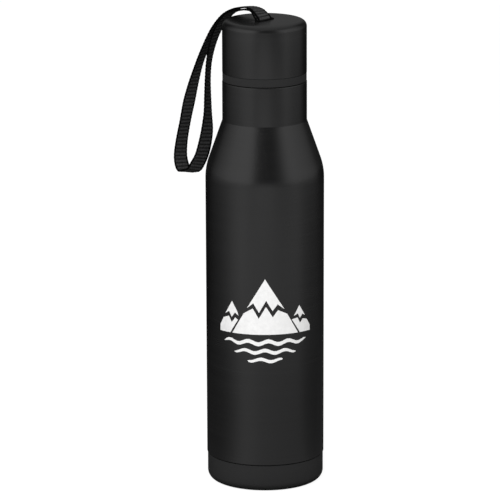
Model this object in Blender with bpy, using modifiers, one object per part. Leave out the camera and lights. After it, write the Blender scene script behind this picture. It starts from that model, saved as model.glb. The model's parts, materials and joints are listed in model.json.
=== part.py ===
"""Insulated water bottle: double-wall steel flask with a screw-in lid and a
webbing carry loop.  Metres, +Z up, origin at the centre of the resting plane.
Dimensions below are in millimetres and are multiplied by MM when used."""
import math
import bpy
import bmesh
from mathutils import Matrix, Vector

MM = 0.001

# ------------------------------------------------------- shared dimensions
HEIGHT = 264.1          # resting plane to the lid's top face
WALL = 0.5              # steel sheet thickness: both walls and the lid shell
NECK_R = 23.65          # outer shell, neck
RIM_Z = 230.0           # top of the bottle's rim
TAIL_Z = 3.0            # lower edge of the shell's tail and of the vacuum base
LINER_R = 29.3          # liner, inside radius
LINER_OUT_R = LINER_R + WALL
LEDGE_Z = 214.6         # seat for the plug gasket
THREAD_PITCH = 5.0      # right-hand thread, lift per turn
THREAD_START = math.radians(200)
LINER_THREAD_Z = 218.3  # lowest point of the liner's thread centre line
PIN_Z = 256.0           # anchor pin inside the lid
PIVOT_Z = 266.7         # where the webbing bends above the slot
WEB_W = 10.0            # webbing width
WEB_T = 0.9             # webbing thickness
SLOT_ANGLE = math.radians(49)   # direction of the strap slot in plan
STEPS = 36              # facets of a turned piece
SMALL_STEPS = 16        # facets of a rod or a small turned piece

SLOT_DIR = Vector((math.cos(SLOT_ANGLE), math.sin(SLOT_ANGLE), 0))
SIDE_DIR = Vector((-math.sin(SLOT_ANGLE), math.cos(SLOT_ANGLE), 0))
UP = Vector((0, 0, 1))

# ------------------------------------------------------- scene and materials
for old in list(bpy.data.objects):
    bpy.data.objects.remove(old, do_unlink=True)
for old in list(bpy.data.collections):
    bpy.data.collections.remove(old)

bottle_col = bpy.data.collections.new("insulated_water_bottle")
cutter_col = bpy.data.collections.new("cutters")
bpy.context.scene.collection.children.link(bottle_col)
bpy.context.scene.collection.children.link(cutter_col)


def material(name, colour, roughness, metallic=0.0):
    mat = bpy.data.materials.new(name)
    mat.use_nodes = True
    shader = mat.node_tree.nodes["Principled BSDF"]
    shader.inputs["Base Color"].default_value = (*colour, 1)
    shader.inputs["Roughness"].default_value = roughness
    shader.inputs["Metallic"].default_value = metallic
    mat.diffuse_color = (*colour, 1)
    return mat


BLACK_STEEL = material("black_satin_steel", colour=(0.030, 0.030, 0.031),
                       roughness=0.42, metallic=0.9)
BRIGHT_STEEL = material("brushed_steel", colour=(0.55, 0.55, 0.54),
                        roughness=0.33, metallic=1.0)
COPPER = material("copper_foil", colour=(0.72, 0.36, 0.22), roughness=0.30, metallic=1.0)
BLACK_PLASTIC = material("black_plastic", colour=(0.028, 0.028, 0.029), roughness=0.45)
RUBBER = material("black_rubber", colour=(0.020, 0.020, 0.020), roughness=0.75)
SILICONE = material("grey_silicone", colour=(0.30, 0.30, 0.30), roughness=0.55)
FOAM = material("white_foam", colour=(0.80, 0.80, 0.76), roughness=0.90)
WEBBING = material("black_webbing", colour=(0.022, 0.022, 0.023), roughness=0.85)
GLASS = material("sealing_glass", colour=(0.16, 0.20, 0.18), roughness=0.15)
GETTER = material("getter_alloy", colour=(0.35, 0.34, 0.33), roughness=0.60, metallic=0.6)


# ------------------------------------------------------------ object helpers
def finish(obj, name, mat):
    """Name and file an object.  One without a material is a boolean helper."""
    for col in list(obj.users_collection):
        col.objects.unlink(obj)
    obj.name = name
    obj.data.name = name
    if mat is None:
        cutter_col.objects.link(obj)
        obj.hide_render = True
        obj.display_type = 'WIRE'
    else:
        bottle_col.objects.link(obj)
        obj.data.materials.append(mat)
    return obj


def mesh_from_bmesh(bm, name):
    mesh = bpy.data.meshes.new(name)
    bm.to_mesh(mesh)
    bm.free()
    return mesh


def boolean(obj, other, operation='DIFFERENCE'):
    mod = obj.modifiers.new(operation.lower(), 'BOOLEAN')
    mod.operation = operation
    mod.solver = 'EXACT'
    mod.object = other


# ------------------------------------------------ turned pieces from profiles
def rounded(corners, closed, arc_steps):
    """Corner list (radius, z, fillet) -> profile points with tangent arcs."""
    count = len(corners)
    points = []
    for i, (x, z, fillet) in enumerate(corners):
        if fillet <= 0 or (not closed and i in (0, count - 1)):
            points.append((x, z))
            continue
        corner = Vector((x, z))
        before = Vector(corners[i - 1][:2]) - corner
        after = Vector(corners[(i + 1) % count][:2]) - corner
        half = before.angle(after) / 2
        # a fillet too big for its neighbouring edges shrinks to fit them
        cut = fillet / math.tan(half)
        cut = min(cut, before.length * 0.98, after.length * 0.98)
        arc_r = cut * math.tan(half)
        before.normalize()
        after.normalize()
        centre = corner + (before + after).normalized() * (arc_r / math.sin(half))
        start = corner + before * cut - centre
        end = corner + after * cut - centre
        turn = start.angle_signed(end)
        for k in range(arc_steps + 1):
            spoke = Matrix.Rotation(-turn * k / arc_steps, 2) @ start
            points.append((centre.x + spoke.x, centre.y + spoke.y))
    return points


def turned(name, corners, mat, steps=STEPS, arc_steps=3, centre=(0, 0)):
    """Spin a (radius, z, fillet) profile about Z with a Screw modifier.

    A profile that starts on the axis also ends there; any other is closed.
    """
    closed = corners[0][0] != 0
    bm = bmesh.new()
    verts = [bm.verts.new((x * MM, 0, z * MM))
             for x, z in rounded(corners, closed, arc_steps)]
    for pair in zip(verts, verts[1:] + ([verts[0]] if closed else [])):
        bm.edges.new(pair)
    obj = finish(bpy.data.objects.new(name, mesh_from_bmesh(bm, name)), name, mat)
    obj.location = (centre[0] * MM, centre[1] * MM, 0)
    screw = obj.modifiers.new("turn", 'SCREW')
    screw.axis = 'Z'
    screw.angle = 2 * math.pi
    screw.steps = steps
    screw.render_steps = steps
    screw.use_merge_vertices = True
    screw.merge_threshold = 0.00001
    screw.use_smooth_shade = True
    return obj


# ------------------------------------------------------- pieces from curves
def curve_piece(name, curve, mat, frame=Matrix.Identity(4)):
    """Turn a curve into a welded mesh object standing in the given frame."""
    path = bpy.data.objects.new(name + "_path", curve)
    bpy.context.scene.collection.objects.link(path)
    path.matrix_world = frame
    bpy.context.view_layer.update()
    depsgraph = bpy.context.evaluated_depsgraph_get()
    mesh = bpy.data.meshes.new_from_object(path.evaluated_get(depsgraph))
    bm = bmesh.new()
    bm.from_mesh(mesh)
    bmesh.ops.remove_doubles(bm, verts=bm.verts, dist=0.000002)
    bmesh.ops.recalc_face_normals(bm, faces=bm.faces)
    bm.to_mesh(mesh)
    bm.free()
    mesh.materials.clear()
    obj = finish(bpy.data.objects.new(name, mesh), name, mat)
    obj.matrix_world = path.matrix_world.copy()
    bpy.data.objects.remove(path, do_unlink=True)
    return obj


def frame_of(x_axis, y_axis, height=0):
    """Frame on the bottle's axis at a height, with the given X and Y axes."""
    frame = Matrix((x_axis, y_axis, x_axis.cross(y_axis))).transposed().to_4x4()
    frame.translation = UP * height * MM
    return frame


def outline(name, points, half_depth, frame, mat):
    """A flat closed outline in the frame's XY plane, extruded both ways."""
    curve = bpy.data.curves.new(name, 'CURVE')
    curve.dimensions = '2D'
    curve.fill_mode = 'BOTH'
    curve.extrude = half_depth * MM
    line = curve.splines.new('POLY')
    line.points.add(len(points) - 1)
    for point, (x, y) in zip(line.points, points):
        point.co = (x * MM, y * MM, 0, 1)
    line.use_cyclic_u = True
    return curve_piece(name, curve, mat, frame)


def helix(name, radius, tube_r, start_z, turns):
    """Rounded thread ridge: a tube along a right-hand helix, thin at its ends."""
    per_turn = 18
    thin_steps = 3      # steps over which each end thins
    thinning = 0.55     # share of the tube radius lost at the very end
    last = int(per_turn * turns)
    curve = bpy.data.curves.new(name, 'CURVE')
    curve.dimensions = '3D'
    curve.bevel_depth = tube_r * MM
    curve.bevel_resolution = 1
    curve.use_fill_caps = True
    line = curve.splines.new('POLY')
    line.points.add(last)
    for i, point in enumerate(line.points):
        swept = 2 * math.pi * i / per_turn
        angle = THREAD_START + swept
        z = start_z + THREAD_PITCH * swept / (2 * math.pi)
        point.co = (radius * math.cos(angle) * MM, radius * math.sin(angle) * MM, z * MM, 1)
        point.radius = 1 - thinning * max(0.0, 1 - min(i, last - i) / thin_steps)
    return curve_piece(name, curve, None)


def rod(name, radius, start, end, mat=None, axis=SLOT_DIR, through=(0, 0, PIN_Z),
        sides=SMALL_STEPS):
    """Cylinder along an axis, from start to end past the point it goes through."""
    bpy.ops.mesh.primitive_cylinder_add(vertices=sides, radius=radius * MM,
                                        depth=(end - start) * MM)
    obj = bpy.context.object
    obj.rotation_mode = 'QUATERNION'
    obj.rotation_quaternion = UP.rotation_difference(axis)
    obj.location = (Vector(through) + axis * ((start + end) / 2)) * MM
    finish(obj, name, mat)
    obj.data.shade_smooth()
    obj.data.set_sharp_from_angle(angle=math.radians(35))
    return obj


# ============================================================ the bottle body
# Profiles below list (radius, z, fillet).

# Outer shell, with a swaged tail that sits inside the base cup
BODY_R = 33.0           # at the foot
BODY_TOP_R = 33.25      # under the shoulder
CONE_TOP_Z = 207.6      # where the shoulder cone meets the neck
CONE_BOTTOM_Z = 180.5   # where the shoulder cone would meet the body
CONE_DROP = 0.1         # inner face of the cone, below the outer one
BASE_SEAM_Z = 15.9      # step from the body to the tail
TAIL_R = 31.8
SHELL_LIP_R = 22.2      # inner edge of the shell's turned-in rim
turned("outer_shell", [
    (SHELL_LIP_R, RIM_Z, 0), (NECK_R, RIM_Z, 0.8),
    (NECK_R, CONE_TOP_Z, 4.0), (BODY_TOP_R, CONE_BOTTOM_Z, 34.0),
    (BODY_R, BASE_SEAM_Z, 0.5), (TAIL_R, BASE_SEAM_Z, 0),
    (TAIL_R, TAIL_Z, 0), (TAIL_R - WALL, TAIL_Z, 0),
    (TAIL_R - WALL, BASE_SEAM_Z + WALL, 0), (BODY_R - WALL, BASE_SEAM_Z + WALL, 0),
    (BODY_TOP_R - WALL, CONE_BOTTOM_Z - CONE_DROP, 33.4),
    (NECK_R - WALL, CONE_TOP_Z - CONE_DROP, 4.6),
    (NECK_R - WALL, RIM_Z - WALL, 0.6), (SHELL_LIP_R, RIM_Z - WALL, 0)],
    BLACK_STEEL)

# Liner: threaded mouth, gasket ledge, throat, shoulder and straight wall
BORE_R = 20.4           # threaded mouth, inside radius
LAND_R = 17.8           # throat under the ledge
SHOULDER_R = 20.0       # top of the liner's shoulder
LINER_LIP_R = 21.9      # outer edge of the liner's rim
LINER_END_Z = 19.9      # lower edge of the liner wall
inner_liner = turned("inner_liner", [
    (BORE_R, RIM_Z, 0.3), (LINER_LIP_R, RIM_Z, 0), (LINER_LIP_R, RIM_Z - WALL, 0),
    (BORE_R + WALL, RIM_Z - WALL, 0), (BORE_R + WALL, LEDGE_Z - WALL, 0),
    (LAND_R + WALL, LEDGE_Z - WALL, 0), (LAND_R + WALL, 211.2, 1.0),
    (SHOULDER_R + WALL, 208.1, 1.0), (LINER_OUT_R, 182.2, 25.0),
    (LINER_OUT_R, LINER_END_Z, 0), (LINER_R, LINER_END_Z, 0), (LINER_R, 182.4, 24.4),
    (SHOULDER_R, 208.3, 1.0), (LAND_R, 211.5, 1.0), (LAND_R, LEDGE_Z, 0),
    (BORE_R, LEDGE_Z, 0)],
    BRIGHT_STEEL, arc_steps=2)
boolean(inner_liner, helix("liner_thread", radius=20.5, tube_r=1.2,
                           start_z=LINER_THREAD_Z, turns=1.7), 'UNION')

# Liner bottom: a cup whose floor rises slightly to the centre
FLOOR_Z = 9.9
FLOOR_CENTRE_Z = 10.6
FLOOR_FLAT_R = 12.0     # where the central rise begins
CUP_RIM_Z = 19.6
turned("liner_bottom", [
    (0, FLOOR_CENTRE_Z, 0), (FLOOR_FLAT_R, FLOOR_Z, 0), (LINER_R, FLOOR_Z, 7.4),
    (LINER_R, CUP_RIM_Z, 0), (LINER_OUT_R, CUP_RIM_Z, 0),
    (LINER_OUT_R, FLOOR_Z - WALL, 8.0), (FLOOR_FLAT_R, FLOOR_Z - WALL, 0),
    (0, FLOOR_CENTRE_Z - WALL, 0)], BRIGHT_STEEL)

# Vacuum base: a disc with a down-turned rim and a small central hole
VACUUM_BASE_R = 30.9
VACUUM_BASE_Z = 5.6     # top face
VACUUM_BASE_T = 0.6
VACUUM_HOLE_R = 1.4
turned("vacuum_base", [
    (VACUUM_HOLE_R, VACUUM_BASE_Z, 0), (VACUUM_BASE_R, VACUUM_BASE_Z, 0.8),
    (VACUUM_BASE_R, TAIL_Z, 0), (VACUUM_BASE_R - VACUUM_BASE_T, TAIL_Z, 0),
    (VACUUM_BASE_R - VACUUM_BASE_T, VACUUM_BASE_Z - VACUUM_BASE_T, 0),
    (VACUUM_HOLE_R, VACUUM_BASE_Z - VACUUM_BASE_T, 0)], BRIGHT_STEEL, arc_steps=2)

# Seal bead: a stem in the hole and a wider head under the base
turned("vacuum_seal_bead", [
    (0, 5.9, 0), (0.9, 5.9, 0.2), (0.9, 4.6, 0), (3.2, 4.6, 0),
    (2.6, 3.9, 0), (0, 3.5, 0)], GLASS, steps=SMALL_STEPS, arc_steps=1)

# Getter pill, above the vacuum base and off centre towards +X
turned("getter_pill", [
    (0, 7.9, 0), (4.0, 7.9, 0.4), (4.0, 5.9, 0), (0, 5.9, 0)],
    GETTER, steps=SMALL_STEPS, arc_steps=1, centre=(12, 0))

# Foil sleeve in the gap between the walls
FOIL_R = 30.5
FOIL_T = 0.2
turned("radiation_foil", [
    (FOIL_R - FOIL_T, 172, 0), (FOIL_R, 172, 0), (FOIL_R, 30, 0), (FOIL_R - FOIL_T, 30, 0)],
    COPPER)

# Base cup over the tail, with a recess underneath for the foot pad
CUP_R = 32.65
CUP_WALL = 0.45
CUP_TOP_Z = 15.5
CUP_FOOT_Z = 0.2
PAD_RECESS_R = 27.8
turned("base_cup", [
    (0, 2.2, 0), (28.4, 2.2, 0), (29.0, 1.1, 0),
    (CUP_R - CUP_WALL, 1.1, 3.5), (CUP_R - CUP_WALL, CUP_TOP_Z, 0), (CUP_R, CUP_TOP_Z, 0),
    (CUP_R, CUP_FOOT_Z, 4.8), (PAD_RECESS_R, CUP_FOOT_Z, 0), (PAD_RECESS_R, 1.6, 0),
    (0, 1.6, 0)], BLACK_PLASTIC)

# Foot pad, resting on z = 0
PAD_R = 27.4
PAD_T = 1.2
turned("foot_pad", [
    (0, PAD_T, 0), (PAD_R, PAD_T, 0), (PAD_R, 0.0, 0.3), (0, 0.0, 0)],
    RUBBER, arc_steps=1)

# ================================================================== the lid
# Gasket: a ring with a pointed outer edge, in the plug's groove
GASKET_Z0, GASKET_Z1 = 215.0, 217.2
GASKET_IN_R = 16.9
GASKET_R = 18.3
plug_gasket = turned("plug_gasket", [
    (GASKET_IN_R, GASKET_Z1, 0), (GASKET_R, GASKET_Z1, 0),
    (18.9, (GASKET_Z0 + GASKET_Z1) / 2, 0), (GASKET_R, GASKET_Z0, 0),
    (GASKET_IN_R, GASKET_Z0, 0)], SILICONE)

# Core: a hollow plug below, a collar at the rim and a skirt up inside the shell
PLUG_R = 18.8           # plug under its thread
PLUG_BORE_R = 14.5
PLUG_Z = 212.0          # underside of the plug
PLUG_FLOOR_Z = 213.8
NOSE_R = 17.3           # plug below the gasket groove
GROOVE_R = 16.5         # bottom of the gasket groove
GROOVE_Z0, GROOVE_Z1 = 214.7, 217.6
COLLAR_R = 23.5
COLLAR_Z0, COLLAR_Z1 = 230.4, 234.7
DECK_Z = 235.5          # floor inside the skirt
SKIRT_R = 22.6
SKIRT_IN_R = 20.6
SKIRT_Z = 247.0
lid_core = turned("lid_core", [
    (0, PLUG_FLOOR_Z, 0), (PLUG_BORE_R, PLUG_FLOOR_Z, 0), (PLUG_BORE_R, DECK_Z, 0),
    (SKIRT_IN_R, DECK_Z, 0), (SKIRT_IN_R, SKIRT_Z, 0), (SKIRT_R, SKIRT_Z, 0.5),
    (SKIRT_R, COLLAR_Z1, 0), (COLLAR_R, COLLAR_Z1, 0.2), (COLLAR_R, COLLAR_Z0, 0.3),
    (PLUG_R, COLLAR_Z0, 0), (PLUG_R, GROOVE_Z1, 0.4), (GROOVE_R, GROOVE_Z1, 0),
    (GROOVE_R, GROOVE_Z0, 0), (NOSE_R, GROOVE_Z0, 0), (NOSE_R, PLUG_Z, 0.8),
    (0, PLUG_Z, 0)], BLACK_PLASTIC, arc_steps=2)
# the plug's ridge runs midway between the turns of the liner's
boolean(lid_core, helix("plug_thread", radius=18.9, tube_r=1.1,
                        start_z=LINER_THREAD_Z + THREAD_PITCH / 2, turns=1.25), 'UNION')

# Strap slot, a stadium; the grommet's outlines are offsets of it
SLOT_LENGTH = 12.6
SLOT_WIDTH = 5.2


def slot_block(name, offset, z0, z1, mat=None):
    """Block shaped like the strap slot, grown by offset on every side."""
    radius = SLOT_WIDTH / 2 + offset
    centre = (SLOT_LENGTH - SLOT_WIDTH) / 2
    points = []
    for side, start in ((1, -90), (-1, 90)):
        for k in range(7):
            angle = math.radians(start + 30 * k)
            points.append((side * centre + radius * math.cos(angle),
                           radius * math.sin(angle)))
    frame = frame_of(SLOT_DIR, SIDE_DIR, (z0 + z1) / 2)
    return outline(name, points, (z1 - z0) / 2, frame, mat)


# Shell: a steel cap, open below, with the strap slot in its top
LID_R = 23.6
LID_Z0 = 235.0          # lower edge
LID_EDGE = 3.5          # rounding of the top edge
lid_shell = turned("lid_shell", [
    (0, HEIGHT, 0), (LID_R, HEIGHT, LID_EDGE), (LID_R, LID_Z0, 0),
    (LID_R - WALL, LID_Z0, 0), (LID_R - WALL, HEIGHT - WALL, LID_EDGE - WALL),
    (0, HEIGHT - WALL, 0)], BLACK_STEEL, arc_steps=4)
boolean(lid_shell, slot_block("slot_cut", offset=0, z0=258, z1=268))

# Foam filling of the plug and the cap that closes it
turned("stopper_foam", [
    (0, 232.8, 0), (14.1, 232.8, 0), (14.1, 214.2, 0), (0, 214.2, 0)], FOAM)
turned("stopper_cap", [
    (0, 234.9, 0), (14.15, 234.9, 0.3), (14.15, 233.2, 0), (0, 233.2, 0)],
    BLACK_PLASTIC, arc_steps=1)

# Grommet: a neck through the slot with a flange above and a clip lip below
GROMMET_OVERLAP = 0.35  # flange and lip, past the slot's edge
slot_grommet = slot_block("slot_grommet", offset=-0.3, z0=262.3, z1=264.6,
                          mat=BLACK_PLASTIC)
boolean(slot_grommet, slot_block("grommet_flange", GROMMET_OVERLAP, 264.4, 264.65), 'UNION')
boolean(slot_grommet, slot_block("grommet_lip", GROMMET_OVERLAP, 262.2, 263.1), 'UNION')
boolean(slot_grommet, slot_block("grommet_hole", offset=-0.7, z0=258, z1=268))

# Anchor bracket: a foot plate with two ears that carry the strap pin
PLATE_T = 1.2
PLATE_Z0 = 235.8
PLATE_Z1 = PLATE_Z0 + PLATE_T
PLATE_END = 19.0        # half the plate's length
EAR_IN = 5.9            # inner face of an ear, from the axis
EAR_OUT = EAR_IN + PLATE_T
EAR_TOP_Z = 258.6
PIN_HOLE_R = 1.55
anchor_bracket = outline("anchor_bracket", [
    (-PLATE_END, PLATE_Z0), (PLATE_END, PLATE_Z0), (PLATE_END, PLATE_Z1),
    (EAR_OUT, PLATE_Z1), (EAR_OUT, EAR_TOP_Z), (EAR_IN, EAR_TOP_Z), (EAR_IN, PLATE_Z1),
    (-EAR_IN, PLATE_Z1), (-EAR_IN, EAR_TOP_Z), (-EAR_OUT, EAR_TOP_Z),
    (-EAR_OUT, PLATE_Z1), (-PLATE_END, PLATE_Z1)],
    4.0, frame_of(SLOT_DIR, UP), BRIGHT_STEEL)
boolean(anchor_bracket, rod("pin_holes", PIN_HOLE_R, -12, 12))

# Two screws through the foot plate into the core, each with a hexagonal socket
SCREW_SPACING = 16.7    # screw from the bottle's axis
for tag, side in (("a", 1), ("b", -1)):
    spot = SLOT_DIR * (side * SCREW_SPACING)
    hole = rod("screw_hole_" + tag, 1.4, 229.6, 240.0, axis=UP, through=spot)
    boolean(anchor_bracket, hole)
    boolean(lid_core, hole)
    anchor_screw = turned("anchor_screw_" + tag, [
        (0, 239.1, 0), (1.5, 239.1, 0.3), (2.3, 238.3, 0.2), (2.3, 237.3, 0),
        (1.1, 237.3, 0), (1.1, 230.6, 0.3), (0, 230.2, 0)], BRIGHT_STEEL,
        steps=12, arc_steps=1, centre=(spot.x, spot.y))
    boolean(anchor_screw, rod("screw_drive_" + tag, 1.0, 238.3, 240.5,
                              axis=UP, through=spot, sides=6))

# Strap pin through the ears: bevelled ends, and a head on its -SLOT_DIR end
strap_pin = rod("strap_pin", 1.25, -8.4, 9.0, BRIGHT_STEEL)
edges = strap_pin.modifiers.new("edges", 'BEVEL')
edges.width = 0.3 * MM
edges.segments = 1
edges.limit_method = 'ANGLE'
edges.angle_limit = math.radians(50)
boolean(strap_pin, rod("pin_head", 2.2, -8.8, -7.5), 'UNION')

# Ring clip on the pin's other end
pin_clip = rod("pin_clip", 2.6, 7.5, 8.1, BRIGHT_STEEL)
boolean(pin_clip, rod("clip_bore", PIN_HOLE_R, 6.5, 9.5))

# ============================================================== the webbing
FOLD_IN_R = 1.6         # inside of the fold round the pin
FOLD_GAP = 0.15         # half the gap between the two layers above the fold
TAIL_TOP_Z = 264.8


def fold_section():
    """Section of the webbing folded round the pin and led up the slot."""
    arc_steps = 12
    outer_r = FOLD_IN_R + WEB_T
    outer_x = FOLD_GAP + WEB_T
    outer_gap = math.degrees(math.asin(outer_x / outer_r))
    inner_gap = math.degrees(math.asin(FOLD_GAP / FOLD_IN_R))
    points = [(-outer_x, TAIL_TOP_Z)]
    for k in range(arc_steps + 1):          # outside, round under the pin
        angle = math.radians(90 + outer_gap + (360 - 2 * outer_gap) * k / arc_steps)
        points.append((outer_r * math.cos(angle), PIN_Z + outer_r * math.sin(angle)))
    points += [(outer_x, TAIL_TOP_Z), (FOLD_GAP, TAIL_TOP_Z)]
    for k in range(arc_steps + 1):          # inside, back the other way
        angle = math.radians(90 - inner_gap - (360 - 2 * inner_gap) * k / arc_steps)
        points.append((FOLD_IN_R * math.cos(angle), PIN_Z + FOLD_IN_R * math.sin(angle)))
    points.append((-FOLD_GAP, TAIL_TOP_Z))
    return points


outline("strap_tail", fold_section(), WEB_W / 2, frame_of(SIDE_DIR, UP), WEBBING)

STRAP_ROLL = math.radians(-9)   # lean of the hanging loop's plane
ROLL_START = 1.0        # the lean sets in from here, across from the slot
ROLL_SPAN = 6.0         # and is full after this much more

# Middle line of the hanging loop in its own plane, mm: across from the slot,
# up from the lid's top face, and twist of the webbing in degrees.
LOOP = [
    (0.0, 2.95, 0), (2.6, 3.4, 1), (6.0, 5.05, 0), (11.0, 5.75, -1),
    (16.1, 4.95, -5), (21.6, 3.5, -8), (27.1, 0.45, -11), (31.9, -4.2, -13),
    (36.5, -10.6, -16), (41.3, -21.2, -18), (44.5, -30.1, -17), (47.3, -41.0, -10),
    (49.2, -52.0, -4), (50.6, -62.9, -5), (51.8, -74.0, -3), (51.8, -82.8, 3),
    (50.0, -88.4, 6), (47.5, -91.4, 0), (43.4, -91.3, 0), (39.8, -89.7, 1),
    (37.5, -85.1, -6), (35.6, -79.3, -5), (34.3, -72.9, -2), (33.9, -65.0, 6),
    (34.7, -56.1, 17), (35.9, -47.2, 22), (37.0, -38.3, 25), (37.5, -29.9, 26),
    (36.8, -22.0, 23), (35.1, -14.1, 18), (32.3, -7.5, 14), (28.8, -2.5, 11),
    (24.8, 1.1, 8), (20.0, 2.9, 4), (15.0, 3.8, 2), (10.3, 4.05, -1),
    (6.3, 3.45, -2), (2.9, 2.2, 0), (0.0, 1.9, 0)]


def spline(points, per_span):
    """Catmull-Rom through the points."""
    result = []
    last = len(points) - 1
    for i in range(last):
        span = (points[max(i - 1, 0)], points[i], points[i + 1], points[min(i + 2, last)])
        for k in range(per_span):
            t = k / per_span
            result.append(tuple(
                0.5 * (2 * p1 + (p2 - p0) * t + (2 * p0 - 5 * p1 + 4 * p2 - p3) * t * t
                       + (3 * p1 - p0 - 3 * p2 + p3) * t ** 3)
                for p0, p1, p2, p3 in zip(*span)))
    result.append(points[-1])
    return result


def loop_edges():
    """Edges of the webbing strip, as pairs of points in metres."""
    stations = []       # middle point, direction across the webbing, twist
    for across, height, twist in spline(LOOP, 2):
        ease = min(max((across - ROLL_START) / ROLL_SPAN, 0), 1)
        roll = STRAP_ROLL * ease * ease * (3 - 2 * ease)
        width_dir = SLOT_DIR * math.cos(roll) + UP * math.sin(roll)
        rise_dir = width_dir.cross(SIDE_DIR)
        middle = SIDE_DIR * across + UP * HEIGHT + rise_dir * height
        stations.append((middle, width_dir, math.radians(twist)))
    pairs = []
    for i, (middle, width_dir, twist) in enumerate(stations):
        before = stations[max(i - 1, 0)][0]
        after = stations[min(i + 1, len(stations) - 1)][0]
        normal = (after - before).normalized().cross(width_dir).normalized()
        reach = (width_dir * math.cos(twist) + normal * math.sin(twist)) * (WEB_W / 2)
        pairs.append(((middle - reach) * MM, (middle + reach) * MM))
    return pairs


def loop_mesh():
    """The flat strip, extruded edge by edge, with its origin at the pivot."""
    bm = bmesh.new()
    pairs = loop_edges()
    edge = bm.edges.new([bm.verts.new(point) for point in pairs[0]])
    for near, far in pairs[1:]:
        extruded = bmesh.ops.extrude_edge_only(bm, edges=[edge])["geom"]
        edge = next(part for part in extruded if isinstance(part, bmesh.types.BMEdge))
        # each end moves to the nearer point, so the strip doesn't cross over
        first, second = edge.verts
        if (first.co - near).length > (second.co - near).length:
            first, second = second, first
        first.co = near
        second.co = far
    bmesh.ops.recalc_face_normals(bm, faces=bm.faces)
    mesh = mesh_from_bmesh(bm, "strap_loop")
    mesh.transform(Matrix.Translation((0, 0, -PIVOT_Z * MM)))
    return mesh


strap_loop = finish(bpy.data.objects.new("strap_loop", loop_mesh()), "strap_loop", WEBBING)
strap_loop.location = (0, 0, PIVOT_Z * MM)
thickness = strap_loop.modifiers.new("thickness", 'SOLIDIFY')
thickness.thickness = WEB_T * MM
thickness.offset = 0
thickness.use_even_offset = True
# a round bar joins the loop's two ends above the slot
boolean(strap_loop, rod("loop_root", 1.5, -WEB_W / 2, WEB_W / 2,
                        through=(0, 0, PIVOT_Z), sides=12), 'UNION')

# ------------------------------------------------------------ moving frames
seal_frame = bpy.data.objects.new("seal_frame", None)
lid_frame = bpy.data.objects.new("lid_frame", None)
for empty in (seal_frame, lid_frame):
    empty.empty_display_size = 0.02
    bottle_col.objects.link(empty)
lid_frame.parent = seal_frame
plug_gasket.parent = seal_frame
for name in ("lid_core", "lid_shell", "stopper_foam", "stopper_cap", "slot_grommet",
             "anchor_bracket", "anchor_screw_a", "anchor_screw_b", "strap_pin",
             "pin_clip", "strap_tail", "strap_loop"):
    bpy.data.objects[name].parent = lid_frame
bpy.context.view_layer.update()
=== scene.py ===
"""Insulated water bottle with a screw lid and a webbing carry strap.

The bottle stands on z = 0 with its axis on +Z.  Its front, with the print, faces
-Y, towards the camera.  The strap comes out of a slot in the lid's top and hangs
down one side.  Sizes are in mm and are scaled by MM when a mesh is made.
"""
import json
import math

import bmesh
import bpy
import numpy as np
from mathutils import Matrix, Vector


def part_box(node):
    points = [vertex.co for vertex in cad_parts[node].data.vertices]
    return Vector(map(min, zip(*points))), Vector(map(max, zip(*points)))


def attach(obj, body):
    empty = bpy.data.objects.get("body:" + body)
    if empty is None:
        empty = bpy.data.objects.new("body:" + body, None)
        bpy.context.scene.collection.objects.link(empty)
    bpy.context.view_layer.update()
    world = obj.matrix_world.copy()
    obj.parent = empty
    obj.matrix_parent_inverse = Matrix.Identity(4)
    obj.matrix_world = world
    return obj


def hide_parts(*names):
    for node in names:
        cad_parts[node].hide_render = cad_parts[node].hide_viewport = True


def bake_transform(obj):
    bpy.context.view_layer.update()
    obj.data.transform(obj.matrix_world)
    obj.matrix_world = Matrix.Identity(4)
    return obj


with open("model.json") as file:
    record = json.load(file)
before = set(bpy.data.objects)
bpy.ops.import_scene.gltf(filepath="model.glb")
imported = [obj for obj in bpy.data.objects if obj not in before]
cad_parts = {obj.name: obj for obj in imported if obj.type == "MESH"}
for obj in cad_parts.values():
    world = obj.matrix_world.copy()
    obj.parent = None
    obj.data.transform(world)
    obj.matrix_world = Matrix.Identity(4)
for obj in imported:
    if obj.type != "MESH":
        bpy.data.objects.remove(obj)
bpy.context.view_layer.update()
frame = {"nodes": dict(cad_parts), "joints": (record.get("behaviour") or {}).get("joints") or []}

MM = 0.001
scene = bpy.context.scene


# ------------------------------------------------------ sizes from the frame
def box_mm(node):
    low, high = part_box(node)
    return low / MM, high / MM


lid_low, lid_high = box_mm("lid_shell")
cup_low, cup_high = box_mm("base_cup")
seal_low, seal_high = box_mm("plug_gasket")
RIM_Z = box_mm("outer_shell")[1].z
COLLAR_R = box_mm("lid_core")[1].x
LID_R, LID_Z0, HEIGHT = lid_high.x, lid_low.z, lid_high.z
CUP_R, CUP_Z0, CUP_Z1 = cup_high.x, cup_low.z, cup_high.z
SEAL_Z0, SEAL_Z1 = seal_low.z, seal_high.z

# The slot runs along the axis that the strap swings on; the strap leaves it sideways.
swing = next(joint for joint in frame["joints"] if joint["name"] == "strap_swing")
SLOT_DIR = Vector(swing["axis"]).normalized()
UP = Vector((0, 0, 1))
SIDE_DIR = UP.cross(SLOT_DIR).normalized()

# ------------------------------------------------------------ sizes set here
WALL = 0.5                                    # steel thickness
BODY_TOP_R, BODY_R, TAIL_R = 33.25, 33.0, 31.8
NECK_R, CONE_TOP_Z, CONE_BOTTOM_Z = 23.65, 207.6, 180.5
BASE_SEAM_Z, TAIL_Z = 15.9, 3.0
RIM_INNER_R = 22.2                            # inner edge of the shell's top rim
LINER_R, LINER_RIM_R = 29.3, 21.9
BORE_R, LEDGE_Z, LAND_R = 20.4, 214.6, 17.8   # liner mouth, its ledge, bore below it
PLUG_R, COLLAR_Z0, COLLAR_Z1 = 18.8, 230.4, 234.7
THREAD_PITCH, LINER_THREAD_Z = 5.0, 218.3
THREAD_START = math.radians(200)


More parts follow.
